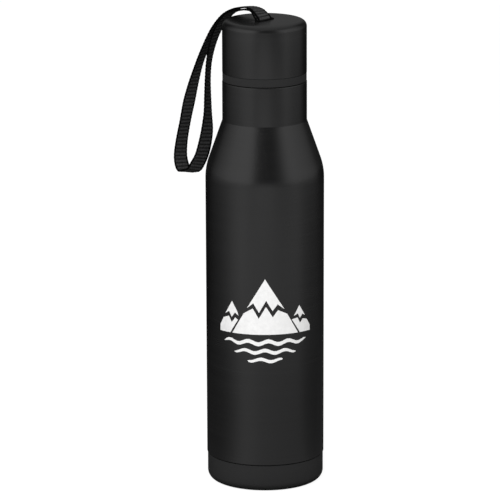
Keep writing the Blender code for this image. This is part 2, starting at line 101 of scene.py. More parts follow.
# ============================================================== shader trees
def grey(level):
    return (level, level, level)


class Graph:
    """Short calls for building a shader tree."""

    def __init__(self, tree):
        self.tree = tree

    def add(self, kind, **settings):
        node = self.tree.nodes.new(kind)
        for key, value in settings.items():
            setattr(node, key, value)
        return node

    def link(self, source, target):
        self.tree.links.new(source, target)

    def feed(self, socket, value):
        """Set a socket to a number or a colour, or link it."""
        if isinstance(value, tuple):
            socket.default_value = (*value, 1)
        elif isinstance(value, (int, float)):
            socket.default_value = value
        else:
            self.link(value, socket)

    def op(self, kind, *values):
        node = self.add("ShaderNodeMath", operation=kind)
        for i, value in enumerate(values):
            self.feed(node.inputs[i], value)
        return node.outputs[0]

    def remap(self, value, span=(0.3, 0.7), to=(0.0, 1.0), smooth=False):
        """Map span onto to.  The default span is the range most noise covers."""
        node = self.add("ShaderNodeMapRange",
                        interpolation_type="SMOOTHSTEP" if smooth else "LINEAR")
        for i, limit in enumerate((*span, *to)):
            node.inputs[i + 1].default_value = limit
        self.link(value, node.inputs[0])
        return node.outputs[0]

    def ease(self, value, span, to=(0.0, 1.0)):
        return self.remap(value, span, to, smooth=True)

    def split_xyz(self, vector):
        node = self.add("ShaderNodeSeparateXYZ")
        self.link(vector, node.inputs[0])
        return node.outputs


class Mat(Graph):
    """A Principled material."""

    SOCKETS = {"color": "Base Color", "rough": "Roughness", "metal": "Metallic",
               "normal": "Normal", "ior": "IOR", "spec": "Specular IOR Level",
               "coat": "Coat Weight", "sss": "Subsurface Weight"}

    def __init__(self, name):
        self.material = bpy.data.materials.new(name)
        self.material.use_nodes = True
        super().__init__(self.material.node_tree)
        self.shader = self.tree.nodes["Principled BSDF"]

    def coords(self, scale, shift=(0, 0, 0), uv_map=None):
        """Scaled object coordinates, or a scaled UV map if one is named."""
        if uv_map:
            source = self.add("ShaderNodeUVMap", uv_map=uv_map).outputs["UV"]
        else:
            source = self.add("ShaderNodeTexCoord").outputs["Object"]
        mapping = self.add("ShaderNodeMapping")
        mapping.inputs["Scale"].default_value = (
            scale if isinstance(scale, tuple) else (scale,) * 3)
        mapping.inputs["Location"].default_value = shift
        self.link(source, mapping.inputs["Vector"])
        return mapping.outputs["Vector"]

    def noise(self, scale, detail=2.0, rough=0.5, **place):
        vector = self.coords(scale, **place)
        node = self.add("ShaderNodeTexNoise")
        node.inputs["Scale"].default_value = 1.0
        node.inputs["Detail"].default_value = detail
        node.inputs["Roughness"].default_value = rough
        self.link(vector, node.inputs["Vector"])
        return node.outputs["Fac"]

    def voronoi(self, scale, feature="F1"):
        vector = self.coords(scale)
        node = self.add("ShaderNodeTexVoronoi", feature=feature)
        node.inputs["Scale"].default_value = 1.0
        self.link(vector, node.inputs["Vector"])
        return node.outputs["Distance"]

    def cosine(self, cycles):
        """Wave of one period per unit, 1 at every whole number."""
        return self.op("COSINE", self.op("MULTIPLY", cycles, 2 * math.pi), 0.0)

    def mix(self, factor, color_0, color_1):
        node = self.add("ShaderNodeMix", data_type="RGBA")
        for i, value in ((0, factor), (6, color_0), (7, color_1)):
            self.feed(node.inputs[i], value)
        return node.outputs[2]

    def bump(self, height, strength, depth, normal=None):
        """depth is in metres."""
        node = self.add("ShaderNodeBump")
        node.inputs["Strength"].default_value = strength
        node.inputs["Distance"].default_value = depth
        self.link(height, node.inputs["Height"])
        if normal is not None:
            self.link(normal, node.inputs["Normal"])
        return node.outputs["Normal"]

    def finish(self, **values):
        """Set the Principled inputs and return the material."""
        for key, value in values.items():
            self.feed(self.shader.inputs[self.SOCKETS[key]], value)
        return self.material


# ================================================================ materials
# Texture scales are cycles per metre, as object coordinates are in metres.
def coated_steel():
    """Black satin coat over steel that was brushed round its axis: fine lines
    round the body, faint blotches and a few specks of dust."""
    mat = Mat("coated_steel")
    fine = mat.noise(scale=(14, 14, 2100), detail=3.0, rough=0.65)
    broad = mat.noise(scale=(6, 6, 260))
    blotch = mat.noise(scale=(22, 22, 9), shift=(3, 1, 0), detail=3.0, rough=0.6)
    grain = mat.noise(scale=2600, detail=1.0)
    fine_share, broad_share = 0.75, 0.25
    lines = mat.op("ADD", mat.op("MULTIPLY", fine, fine_share),
                   mat.op("MULTIPLY", broad, broad_share))
    dust = mat.remap(mat.voronoi(scale=150), span=(0.025, 0.05), to=(1.0, 0.0))
    dust = mat.op("MULTIPLY", dust, mat.remap(blotch, span=(0.55, 0.7), to=(0.0, 0.35)))
    color = mat.mix(mat.remap(lines), (0.0034, 0.0034, 0.0035), (0.0062, 0.0062, 0.0063))
    color = mat.mix(dust, color, grey(0.09))
    rough = mat.op("ADD", mat.remap(lines, to=(0.225, 0.265)),
                   mat.remap(blotch, to=(-0.015, 0.02)))
    brushed = mat.bump(lines, strength=0.045, depth=0.00005)
    normal = mat.bump(grain, strength=0.06, depth=0.00002, normal=brushed)
    return mat.finish(color=color, rough=rough, ior=1.5, normal=normal)


def moulded_plastic(name, low, high, spec):
    """Black plastic from grey level low to high, with fine grain and a slow drift."""
    mat = Mat(name)
    grain = mat.noise(scale=3800, rough=0.6)
    drift = mat.noise(scale=60)
    blue_low, blue_high = 1.02, 1.01          # slight lift of the blue channel
    color = mat.mix(drift, (low, low, low * blue_low), (high, high, high * blue_high))
    rough = mat.op("ADD", mat.remap(drift, to=(0.72, 0.80)), mat.remap(grain, to=(-0.03, 0.03)))
    return mat.finish(color=color, rough=rough, spec=spec,
                      normal=mat.bump(grain, strength=0.12, depth=0.00003))


def rubber():
    """Black rubber with paler scuffs."""
    mat = Mat("foot_rubber")
    grain = mat.noise(scale=2200, detail=3.0, rough=0.7)
    scuff = mat.noise(scale=140, detail=4.0, rough=0.7)
    color = mat.mix(mat.ease(scuff, span=(0.5, 0.72)), grey(0.014), (0.045, 0.043, 0.041))
    return mat.finish(color=color, rough=mat.remap(scuff, to=(0.68, 0.84)),
                      normal=mat.bump(grain, strength=0.35, depth=0.00008), spec=0.35)


def silicone():
    """Cloudy grey silicone that light enters a little."""
    mat = Mat("seal_silicone")
    cloud = mat.noise(scale=220, detail=3.0, rough=0.6)
    color = mat.mix(cloud, grey(0.33), (0.42, 0.42, 0.41))
    mat.shader.inputs["Subsurface Radius"].default_value = grey(0.003)
    return mat.finish(color=color, rough=mat.remap(cloud, to=(0.38, 0.5)), sss=0.15,
                      normal=mat.bump(mat.noise(scale=1800), strength=0.12, depth=0.00003))


def steel(name, tint, rough, brushing):
    """Bare stainless steel; brushing is the texture scale of its fine marks."""
    mat = Mat(name)
    fine = mat.noise(scale=brushing, detail=3.0, rough=0.7)
    haze = mat.noise(scale=45, detail=3.0, rough=0.6)
    dark_share = 0.86
    dark = tuple(channel * dark_share for channel in tint)
    color = mat.mix(mat.remap(fine), dark, tint)
    rough = mat.op("ADD", mat.remap(fine, to=rough), mat.remap(haze, to=(-0.03, 0.05)))
    return mat.finish(color=color, metal=1.0, rough=rough,
                      normal=mat.bump(fine, strength=0.14, depth=0.00004))


def copper():
    """Crinkled copper foil."""
    mat = Mat("foil_copper")
    crinkle = mat.voronoi(scale=(95, 95, 60), feature="DISTANCE_TO_EDGE")
    crease = mat.ease(crinkle, span=(0.0, 0.12), to=(1.0, 0.0))
    wave = mat.noise(scale=(130, 130, 90), detail=3.0, rough=0.6)
    color = mat.mix(wave, (0.68, 0.32, 0.19), (0.80, 0.43, 0.28))
    wave_share = 0.6
    height = mat.op("ADD", crease, mat.op("MULTIPLY", wave, wave_share))
    return mat.finish(color=color, metal=1.0, rough=mat.remap(wave, to=(0.2, 0.38)),
                      normal=mat.bump(height, strength=0.5, depth=0.0002))


def foam():
    """Cream foam with open cells."""
    mat = Mat("plug_foam")
    cell = mat.voronoi(scale=900)
    color = mat.mix(mat.remap(cell, span=(0.1, 0.6)), (0.62, 0.61, 0.56), (0.84, 0.83, 0.79))
    return mat.finish(color=color, rough=mat.remap(cell, span=(0.0, 0.6), to=(0.8, 0.95)),
                      normal=mat.bump(cell, strength=0.8, depth=0.0003))


def glass_bead():
    """Dark green glass with bubbles."""
    mat = Mat("seal_glass")
    bubble = mat.voronoi(scale=1300)
    color = mat.mix(mat.remap(bubble, span=(0.05, 0.3), to=(1, 0)),
                    (0.10, 0.13, 0.115), (0.26, 0.31, 0.28))
    return mat.finish(color=color, rough=mat.remap(bubble, span=(0.1, 0.5), to=(0.05, 0.16)),
                      coat=0.6, normal=mat.bump(bubble, strength=0.15, depth=0.0001))


def getter_powder():
    """Pressed grey metal powder."""
    mat = Mat("getter_powder")
    grain = mat.noise(scale=1500, detail=4.0, rough=0.75)
    color = mat.mix(grain, (0.20, 0.195, 0.19), (0.42, 0.41, 0.39))
    return mat.finish(color=color, metal=0.55, rough=mat.remap(grain, to=(0.5, 0.75)),
                      normal=mat.bump(grain, strength=0.7, depth=0.0002))


def white_ink():
    """Screen-printed white ink: slightly uneven film with a soft sheen."""
    mat = Mat("print_ink")
    film = mat.noise(scale=420, detail=3.0, rough=0.6)
    screen = mat.noise(scale=3000, detail=1.0)
    color = mat.mix(mat.remap(film), (0.745, 0.742, 0.738), (0.825, 0.823, 0.819))
    return mat.finish(color=color, rough=mat.remap(film, to=(0.42, 0.55)),
                      normal=mat.bump(screen, strength=0.15, depth=0.00002))


WEB_UV = "web_uv"       # u counts ribs along the strip, v counts warp ends across it


def webbing():
    """Ribbed black polyester: warp lines along the strip, painted shade in the valleys
    between the ribs and between the warp ends, a painted sheen on the rib crowns,
    dull fluff and painted shade along both edges."""
    mat = Mat("ribbed_webbing")
    uv_node = mat.add("ShaderNodeUVMap", uv_map=WEB_UV)
    parts = mat.split_xyz(uv_node.outputs["UV"])
    along, across = parts[0], parts[1]
    rib = mat.cosine(along)                                     # 1 on a crown
    crown = mat.ease(rib, span=(-0.9, 0.6))
    ends = mat.remap(mat.cosine(across), span=(-1.0, 1.0))
    fluff = mat.noise(uv_map=WEB_UV, scale=(9.0, 2.2, 1), detail=3.0, rough=0.7)
    twist = mat.noise(uv_map=WEB_UV, scale=(2.5, 7.0, 1), rough=0.6)
    bead = mat.noise(uv_map=WEB_UV, scale=(1.5, 1.0, 1), detail=1.0)
    # Painted shade in the valleys between the ribs: the colour drops to 0.30 of its crown value
    # there.
    shade = mat.remap(crown, span=(0.0, 1.0), to=(0.30, 1.0))
    # What darkens the yarn: painted shade between the warp ends, fluff and bead tone, and
    # painted shade along the edges. Columns: source, its span, the factor it gives, smooth or
    # not.
    for source, span, to, smooth in (
            # painted shade in the grooves between the warp ends
            (ends, (0.0, 1.0), (0.7, 1.0), False),
            (fluff, (0.3, 0.75), (0.6, 1.0), False),
            (bead, (0.3, 0.7), (0.5, 1.2), False),
            # painted shade along both edges of the strip
            (across, (4.7, 5.9), (1.0, 0.0), True),             # one edge
            (across, (-7.0, -5.9), (0.0, 1.0), True)):          # the other edge
        shade = mat.op("MULTIPLY", shade, mat.remap(source, span, to, smooth))
    # The crown colour is raised to stand in for a sheen: a painted sheen on the rib crowns.
    color = mat.mix(shade, (0.0018, 0.0018, 0.0019), (0.080, 0.080, 0.081))
    ends_share, twist_share = 0.5, 0.6
    height = mat.op("ADD", mat.op("MULTIPLY", ends, ends_share),
                    mat.op("MULTIPLY", twist, twist_share))
    return mat.finish(color=color, rough=mat.remap(fluff, to=(0.62, 0.85)),
                      spec=mat.remap(shade, span=(0.0, 0.6), to=(0.02, 0.30)),
                      normal=mat.bump(height, strength=0.55, depth=0.00012))


COAT = coated_steel()
PLASTIC = moulded_plastic("moulded_plastic", low=0.0113, high=0.0148, spec=0.42)
INSERT = moulded_plastic("slot_insert", low=0.0018, high=0.0026, spec=0.03)
RUBBER = rubber()
SILICONE = silicone()
STEEL = steel("turned_steel", tint=(0.60, 0.595, 0.585), rough=(0.20, 0.34),
              brushing=(18, 18, 2600))
HARDWARE = steel("hardware_steel", tint=(0.56, 0.56, 0.55), rough=(0.22, 0.36),
                 brushing=(2200, 60, 60))
COPPER = copper()
FOAM = foam()
GLASS = glass_bead()
GETTER = getter_powder()
INK = white_ink()
WEB = webbing()


# ============================================================ mesh builders
def shade(mesh, sharp):
    """Smooth shading, with edges over sharp degrees kept crisp."""
    mesh.shade_smooth()
    mesh.set_sharp_from_angle(angle=math.radians(sharp))


def add_object(name, mesh, material, sharp):
    shade(mesh, sharp)
    mesh.materials.append(material)
    part = bpy.data.objects.new(name, mesh)
    scene.collection.objects.link(part)
    return part


def mesh_object(name, verts, faces, material, sharp=32):
    mesh = bpy.data.meshes.new(name)
    mesh.from_pydata([tuple(map(float, vert)) for vert in verts], [], faces)
    edit = bmesh.new()
    edit.from_mesh(mesh)
    bmesh.ops.recalc_face_normals(edit, faces=edit.faces)
    edit.to_mesh(mesh)
    edit.free()
    return add_object(name, mesh, material, sharp)


def rounded(corners, closed, seg):
    """Corners (r, z, fillet) -> points with tangent arcs at the corners."""
    count = len(corners)
    points = []
    for i, (r, z, fillet) in enumerate(corners):
        if fillet <= 0 or (not closed and i in (0, count - 1)):
            points.append((r, z))
            continue
        corner = Vector((r, z))
        back = Vector(corners[i - 1][:2]) - corner
        ahead = Vector(corners[(i + 1) % count][:2]) - corner
        half = back.angle(ahead) / 2
        cut = min(fillet / math.tan(half), back.length * 0.98, ahead.length * 0.98)
        radius = cut * math.tan(half)
        back.normalize()
        ahead.normalize()
        centre = corner + (back + ahead).normalized() * (radius / math.sin(half))
        spoke = corner + back * cut - centre
        turn = spoke.angle_signed(corner + ahead * cut - centre)
        for k in range(seg + 1):
            arm = Matrix.Rotation(-turn * k / seg, 2) @ spoke
            points.append((centre.x + arm.x, centre.y + arm.y))
    return points


def stack(rings, closed):
    """Quads between rings of equal count; a one-point ring is a pole."""
    verts, start = [], []
    for ring in rings:
        start.append(len(verts))
        verts.extend(ring)
    pairs = list(zip(range(len(rings)), range(1, len(rings))))
    if closed:
        pairs.append((len(rings) - 1, 0))
    faces = []
    for i, j in pairs:
        first, second = start[i], start[j]
        count = max(len(rings[i]), len(rings[j]))
        for k in range(count):
            k2 = (k + 1) % count
            if len(rings[i]) == 1:
                faces.append((first, second + k, second + k2))
            elif len(rings[j]) == 1:
                faces.append((first + k, second, first + k2))
            else:
                faces.append((first + k, second + k, second + k2, first + k2))
    return verts, faces


def circle_ring(r, z, steps=192):
    return [(r * math.cos(2 * math.pi * k / steps) * MM,
             r * math.sin(2 * math.pi * k / steps) * MM, z * MM) for k in range(steps)]


def slot_ring(size, z, grow=0.0, steps=192):
    """Ring round a stadium of size (length, width) that lies along the slot, grown
    on all sides.  It has one point per direction from the centre, so that it
    bridges evenly to a circle."""
    length, width = (extent + 2 * grow for extent in size)
    end_r = width / 2
    straight = length / 2 - end_r             # half the straight part
    slot_angle = math.atan2(SLOT_DIR.y, SLOT_DIR.x)
    ring = []
    for k in range(steps):
        angle = 2 * math.pi * k / steps - slot_angle
        along, aside = math.cos(angle), math.sin(angle)
        # distance from the centre to the outline: straight side, else round end
        reach = end_r / abs(aside) if abs(aside) > 1e-9 else 1e9
        if abs(reach * along) > straight:
            sign = 1 if along > 0 else -1
            reach = (sign * straight * along
                     + math.sqrt(max(end_r * end_r - (straight * aside) ** 2, 0)))
        point = SLOT_DIR * (reach * along) + SIDE_DIR * (reach * aside)
        ring.append((point.x * MM, point.y * MM, z * MM))
    return ring


def lathe(name, corners, material, closed=True, steps=192, seg=8):
    """Turn a profile about Z.  A closed profile is a loop; an open one starts and
    ends on the axis."""
    rings = []
    for r, z in rounded(corners, closed, seg):
        rings.append([(0.0, 0.0, z * MM)] if r < 1e-6 else circle_ring(r, z, steps))
    return mesh_object(name, *stack(rings, closed), material)


def helix_ridge(radius, tube, z_start, turns, per_turn=96, around=14):
    """Thread ridge along a right-hand helix, thinning out at both ends."""
    end_size, run_out = 0.35, 0.12            # share of tube left, share of a turn
    count = int(per_turn * turns)
    rings = []
    for i in range(count + 1):
        swept = 2 * math.pi * i / per_turn
        angle = THREAD_START + swept
        outward = Vector((math.cos(angle), math.sin(angle), 0))
        z = z_start + THREAD_PITCH * swept / (2 * math.pi)
        run = min(i, count - i) / (per_turn * run_out)
        size = tube * (end_size + (1 - end_size) * math.sin(min(run, 1) * math.pi / 2))
        ring = []
        for k in range(around):
            roll = 2 * math.pi * k / around
            point = (outward * (radius + size * math.cos(roll))
                     + UP * (z + size * math.sin(roll)))
            ring.append((point.x * MM, point.y * MM, point.z * MM))
        rings.append(ring)
    verts, faces = stack(rings, False)
    faces.append(tuple(range(around - 1, -1, -1)))
    faces.append(tuple(range(len(verts) - around, len(verts))))
    return verts, faces


def join_shape(part, verts, faces):
    """Boolean union of a second closed shape into part."""
    tool = mesh_object(part.name + "_tool", verts, faces, part.data.materials[0])
    union = part.modifiers.new("join", 'BOOLEAN')
    union.operation = 'UNION'
    union.solver = 'EXACT'
    union.object = tool
    depsgraph = bpy.context.evaluated_depsgraph_get()
    mesh = bpy.data.meshes.new_from_object(part.evaluated_get(depsgraph))
    part.modifiers.remove(union)
    part.data = mesh
    shade(mesh, sharp=35)
    bpy.data.objects.remove(tool, do_unlink=True)


def register(part, carrier, node):
    """Hang the part on its carrier's empty and hide the CAD node that it replaces."""
    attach(part, carrier)
    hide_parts(node)


# ========================================================== the bottle body
# Profile rows are (radius, z, corner fillet).
SHELL_PROFILE = [
    (RIM_INNER_R, RIM_Z, 0), (NECK_R, RIM_Z, 0.6),
    (NECK_R, CONE_TOP_Z, 3.2), (BODY_TOP_R, CONE_BOTTOM_Z, 34.0),
    (BODY_R, BASE_SEAM_Z, 0.45), (TAIL_R, BASE_SEAM_Z, 0.1),
    (TAIL_R, TAIL_Z, 0), (TAIL_R - WALL, TAIL_Z, 0),
    (TAIL_R - WALL, BASE_SEAM_Z + WALL, 0.2), (BODY_R - WALL, BASE_SEAM_Z + WALL, 0.4),
    (BODY_TOP_R - WALL, CONE_BOTTOM_Z - 0.1, 33.5), (NECK_R - WALL, CONE_TOP_Z - 0.1, 3.7),
    (NECK_R - WALL, RIM_Z - WALL, 0.3), (RIM_INNER_R, RIM_Z - WALL, 0)]
LINER_PROFILE = [
    (BORE_R, RIM_Z, 0.25), (LINER_RIM_R, RIM_Z, 0.08), (LINER_RIM_R, RIM_Z - WALL, 0),
    (BORE_R + WALL, RIM_Z - WALL, 0.2), (BORE_R + WALL, LEDGE_Z - WALL, 0.3),
    (LAND_R + WALL, LEDGE_Z - WALL, 0.3), (LAND_R + WALL, 211.2, 1.2),
    (20.0 + WALL, 208.1, 1.6), (LINER_R + WALL, 182.2, 25.0), (LINER_R + WALL, 19.9, 0),
    (LINER_R, 19.9, 0), (LINER_R, 182.4, 24.4), (20.0, 208.3, 1.6),
    (LAND_R, 211.5, 1.2), (LAND_R, LEDGE_Z, 0.4), (BORE_R, LEDGE_Z, 0.5)]
LINER_FLOOR_PROFILE = [
    (0, 10.6, 0), (12.0, 9.9, 6.0), (LINER_R, 9.9, 7.4), (LINER_R, 19.6, 0),
    (LINER_R + WALL, 19.6, 0), (LINER_R + WALL, 9.4, 8.0), (12.0, 9.4, 6.0), (0, 10.1, 0)]
CUP_INNER_R = CUP_R - 0.45
CUP_BOTTOM_Z = CUP_Z0 - 0.1
CUP_PROFILE = [
    (0, 2.2, 0), (28.4, 2.2, 0.3), (29.0, 1.1, 0.4),
    (CUP_INNER_R, 1.1, 3.5), (CUP_INNER_R, CUP_Z1, 0.08), (CUP_R, CUP_Z1, 0.28),
    (CUP_R, CUP_BOTTOM_Z, 4.9), (27.6, CUP_BOTTOM_Z, 0.1), (27.8, 1.6, 0.2), (0, 1.6, 0)]


def pad_profile():
    """Foot pad with shallow ring grooves in its underside."""
    top_z, pad_r = 1.2, 27.4
    mouth, floor_half, depth, fillet = 0.7, 0.45, 0.35, 0.12    # one groove
    corners = [(0, top_z, 0), (pad_r, top_z, 0.2), (pad_r, 0.0, 0.35)]
    for r in (24.0, 20.0, 16.0, 12.0, 8.0):
        corners += [(r + mouth, 0.0, fillet), (r + floor_half, depth, fillet),
                    (r - floor_half, depth, fillet), (r - mouth, 0.0, fillet)]
    corners.append((0, 0.0, 0))
    return corners


shell = lathe("shell_body", SHELL_PROFILE, COAT, steps=224, seg=12)
register(shell, "bottle", "outer_shell")

liner = lathe("liner_wall", LINER_PROFILE, STEEL, steps=160, seg=6)
join_shape(liner, *helix_ridge(radius=20.5, tube=1.2, z_start=LINER_THREAD_Z, turns=1.7))
register(liner, "bottle", "inner_liner")

liner_floor = lathe("liner_floor", LINER_FLOOR_PROFILE, STEEL, closed=False, steps=128)
register(liner_floor, "bottle", "liner_bottom")

cup = lathe("cup_base", CUP_PROFILE, PLASTIC, closed=False, steps=224, seg=12)
register(cup, "bottle", "base_cup")

pad = lathe("pad_foot", pad_profile(), RUBBER, closed=False, steps=160, seg=3)
register(pad, "bottle", "foot_pad")

# ================================================================== the lid
SEAL_PROFILE = [
    (16.9, SEAL_Z1, 0.3), (18.2, SEAL_Z1, 0.5), (18.9, (SEAL_Z0 + SEAL_Z1) / 2, 0.7),
    (18.2, SEAL_Z0, 0.5), (16.9, SEAL_Z0, 0.3)]
COLLAR_EDGE_Z = COLLAR_Z0 - 0.12
CORE_PROFILE = [
    (0, 213.8, 0), (14.5, 213.8, 0.5), (14.5, 235.5, 0.3), (20.6, 235.5, 0.3),
    (20.6, 247.0, 0.3), (22.6, 247.0, 0.5), (22.6, COLLAR_Z1, 0.1),
    (COLLAR_R, COLLAR_Z1, 0.12), (COLLAR_R, COLLAR_EDGE_Z, 0.16),
    (PLUG_R, COLLAR_EDGE_Z, 0.3), (PLUG_R, 217.6, 0.5), (16.5, 217.6, 0.2),
    (16.5, 214.7, 0.2), (17.3, 214.7, 0.2), (17.3, 212.0, 0.9), (0, 212.0, 0)]
CAP_EDGE_Z = LID_Z0 - 0.16
CAP_SLOT = (12.6, 5.2)            # opening in the cap: length, width
CAP_SLOT_EASE = (13.2, 5.8)       # outline that the cap's top eases towards
CAP_FLAT_R = 19.8                 # circle that the easing starts from
# Lip of the opening: growth of the outline, drop below the top face.
CAP_LIP = [(0.5, 0.0), (0.22, 0.03), (0.06, 0.12), (0.0, 0.25), (0.0, WALL)]
GROMMET_HOLE = (11.2, 3.8)
# Grommet section: growth of the hole's outline, height over the top face.
GROMMET_SECTION = [
    (0.0, -1.8), (0.0, 0.1), (0.10, 0.34), (0.32, 0.45), (0.66, 0.45),
    (0.95, 0.34), (1.1, 0.16), (1.1, 0.03), (0.4, 0.02), (0.4, -1.0),
    (1.0, -1.1), (1.0, -1.5), (0.7, -1.9), (0.2, -1.9)]


def lid_cap():
    """Steel cap: side wall, rounded top edge and a slot with rolled lips."""
    def eased(z, round_share):
        """Ring between the flat's circle and the slot."""
        return [tuple(x * round_share + y * (1 - round_share) for x, y in zip(*pair))
                for pair in zip(circle_ring(CAP_FLAT_R, z), slot_ring(CAP_SLOT_EASE, z))]

    inner_r = LID_R - WALL
    under_z = HEIGHT - WALL
    # The ends left out are the axis and the edge point that both lists would share.
    outer = rounded([(inner_r, CAP_EDGE_Z, 0), (LID_R, CAP_EDGE_Z, 0.16),
                     (LID_R, HEIGHT, 3.5), (0, HEIGHT, 0)], False, 10)[:-1]
    under = rounded([(0, under_z, 0), (inner_r, under_z, 3.0),
                     (inner_r, CAP_EDGE_Z, 0)], False, 10)[1:-1]
    rings = [circle_ring(r, z) for r, z in outer]
    rings += [eased(HEIGHT, share) for share in (0.75, 0.45)]
    rings += [slot_ring(CAP_SLOT, HEIGHT - drop, grow) for grow, drop in CAP_LIP]
    rings.append(eased(under_z, 0.5))
    rings += [circle_ring(r, z) for r, z in under]
    return mesh_object("cap_shell", *stack(rings, True), COAT)


def grommet():
    """Moulded liner of the slot: flange on top, neck, wider lip below."""
    rings = [slot_ring(GROMMET_HOLE, HEIGHT + z, grow, steps=128)
             for grow, z in GROMMET_SECTION]
    return mesh_object("slot_rim", *stack(rings, True), INSERT)


seal = lathe("seal_ring", SEAL_PROFILE, SILICONE, steps=160, seg=5)
register(seal, "seal", "plug_gasket")

core = lathe("plug_core", CORE_PROFILE, PLASTIC, closed=False, seg=6)
join_shape(core, *helix_ridge(radius=18.9, tube=1.1, turns=1.25,
                              z_start=LINER_THREAD_Z + THREAD_PITCH / 2))
register(core, "lid", "lid_core")

register(lid_cap(), "lid", "lid_shell")
register(grommet(), "lid", "slot_grommet")

# ============================================================== the webbing
WEB_W, WEB_T, RIB = 10.55, 0.9, 2.08          # width, thickness, rib pitch
WARP_ENDS = 15                                # across the width
PIN_Z, PIN_TURN_R = 256.0, 2.05               # pin height, radius of the fold on it
LAYER_OFFSET = 0.6                            # of each layer from the slot's middle
ROLL = math.radians(-9)                       # sideways lean of the hanging loop
ROLL_START, ROLL_LENGTH = 0.5, 7              # where across from the slot it sets in
# Middle line of the strip: across from the slot (a), up from the lid's top
# face (b), twist in degrees.  It runs from the anchor pin up one side of the
# slot, round the hanging loop and back down the other side of the slot.
PATH = [
    (-0.6, -5.3, 0), (-0.6, -3.6, 0), (-0.6, -1.9, 0), (-0.55, -0.4, 0), (0.4, 1.5, 0),
    (2.75, 3.25, 1.5), (6.1, 5.0, -1), (11.0, 5.65, -2), (15.95, 5.0, -4.5), (21.3, 3.6, -8),
    (26.8, 0.55, -9), (31.7, -4.2, -11.5), (36.3, -10.7, -14.5), (41.3, -21.4, -16.5),
    (44.6, -30.3, -17), (47.3, -41.15, -10), (49.25, -52.0, -3.5), (50.65, -63.0, -6),
    (51.85, -74.1, -3.5), (51.75, -82.95, 2), (49.75, -88.8, 7), (47.5, -91.75, -1),
    (43.8, -91.0, -7), (40.5, -89.7, -8), (38.45, -86.3, -10), (36.0, -81.15, -5.5),
    (34.55, -74.55, -3), (33.85, -66.35, 3.5), (34.55, -57.05, 17), (35.85, -47.8, 22),
    (37.0, -38.7, 25.5), (37.5, -30.1, 26), (36.85, -22.15, 23), (35.1, -14.2, 18),
    (32.4, -7.65, 14), (28.85, -2.65, 10.5), (25.0, 1.05, 8), (20.2, 2.8, 5),
    (15.1, 3.85, 3), (10.35, 4.15, -0.5), (6.3, 3.6, -3), (3.5, 1.5, -0.5),
    (1.5, -0.1, 0), (0.75, -2.0, 0), (0.6, -3.7, 0), (0.6, -5.3, 0)]


def smooth_path(points, per_span=24):
    """Catmull-Rom curve through the points."""
    curve = []
    count = len(points)
    for i in range(count - 1):
        spans = list(zip(points[max(i - 1, 0)], points[i],
                         points[i + 1], points[min(i + 2, count - 1)]))
        for k in range(per_span):
            t = k / per_span
            curve.append([0.5 * (2 * b + (c - a) * t + (2 * a - 5 * b + 4 * c - d) * t * t
                                 + (3 * b - a - 3 * c + d) * t ** 3)
                          for a, b, c, d in spans])
    curve.append(list(points[-1]))
    return np.array(curve)


def pin_turn():
    """The fold of the webbing round the anchor pin, from the end of one layer
    to the start of the other, with the columns of PATH."""
    gap = math.degrees(math.asin(LAYER_OFFSET / PIN_TURN_R))
    steps = 8
    points = []
    for k in range(steps + 1):
        angle = math.radians(90 - gap - (360 - 2 * gap) * k / steps)
        points.append((PIN_TURN_R * math.cos(angle),
                       PIN_Z - HEIGHT + PIN_TURN_R * math.sin(angle), 0))
    return points


def softened(curve, window=13):
    """Running average of each column, to take out small kinks."""
    weights = np.hanning(window)
    weights /= weights.sum()
    return np.column_stack([
        np.convolve(np.pad(column, window // 2, mode="edge"), weights, mode="valid")
        for column in curve.T])


def unit(vectors):
    return vectors / np.linalg.norm(vectors, axis=1)[:, None]


def strap_frames(per_rib=7):
    """Stations along the strip: number of ribs, rib count at each station, middle
    point, direction across the strip and direction out of its face."""
    curve = softened(smooth_path(PATH + pin_turn() + [PATH[0]]))
    steps = np.hypot(np.diff(curve[:, 0]), np.diff(curve[:, 1]))
    travelled = np.concatenate([[0], np.cumsum(steps)])
    length = travelled[-1]
    ribs = round(length / RIB)
    stations = np.linspace(0, length, ribs * per_rib, endpoint=False)
    across, height, twist = (np.interp(stations, travelled, column) for column in curve.T)
    twist = np.radians(twist)[:, None]
    side, slot, up = (np.array(axis) for axis in (SIDE_DIR, SLOT_DIR, UP))
    lean = np.clip((across - ROLL_START) / ROLL_LENGTH, 0, 1)
    roll = (ROLL * lean * lean * (3 - 2 * lean))[:, None]
    level = slot[None] * np.cos(roll) + up[None] * np.sin(roll)
    rise = np.cross(np.broadcast_to(side, level.shape), level)
    rise *= np.sign(rise[:, 2:3])
    middle = side[None] * across[:, None] + up[None] * HEIGHT + rise * height[:, None]
    tangent = unit(np.roll(middle, -1, 0) - np.roll(middle, 1, 0))
    normal = unit(np.cross(tangent, level))
    width_dir = level * np.cos(twist) + normal * np.sin(twist)
    face_dir = unit(np.cross(tangent, width_dir))
    return ribs, stations / length * ribs, middle, width_dir, face_dir


FLAT_SHARE = 0.95                 # of the half width that is flat


def strap_section(across=30, edge=3):
    """Cross-section (v, face, edge angle): along the top face, round the edge at
    v = 1, back along the underside and round the edge at v = -1."""
    flats = [-FLAT_SHARE + 2 * FLAT_SHARE * k / (across - 1) for k in range(across)]
    section = []
    for face, row in ((1, flats), (-1, flats[::-1])):
        section += [(v, face, None) for v in row]
        section += [(face, 0, face * math.pi / 2 - math.pi * k / (edge + 1))
                    for k in range(1, edge + 1)]
    return section


def add_strap_uv(mesh, vertex_uv, ribs):
    layer = mesh.uv_layers.new(name=WEB_UV)
    loop_verts = np.zeros(len(mesh.loops), np.int32)
    mesh.loops.foreach_get("vertex_index", loop_verts)
    face_uv = vertex_uv[loop_verts].reshape(-1, 4, 2)
    # faces that close the ring wrap from the last rib back to the first
    along = face_uv[:, :, 0]
    wraps = (along.max(1) - along.min(1)) > ribs / 2
    along[wraps[:, None] & (along < ribs / 2)] += ribs
    layer.data.foreach_set("uv", face_uv.reshape(-1).astype(np.float32))


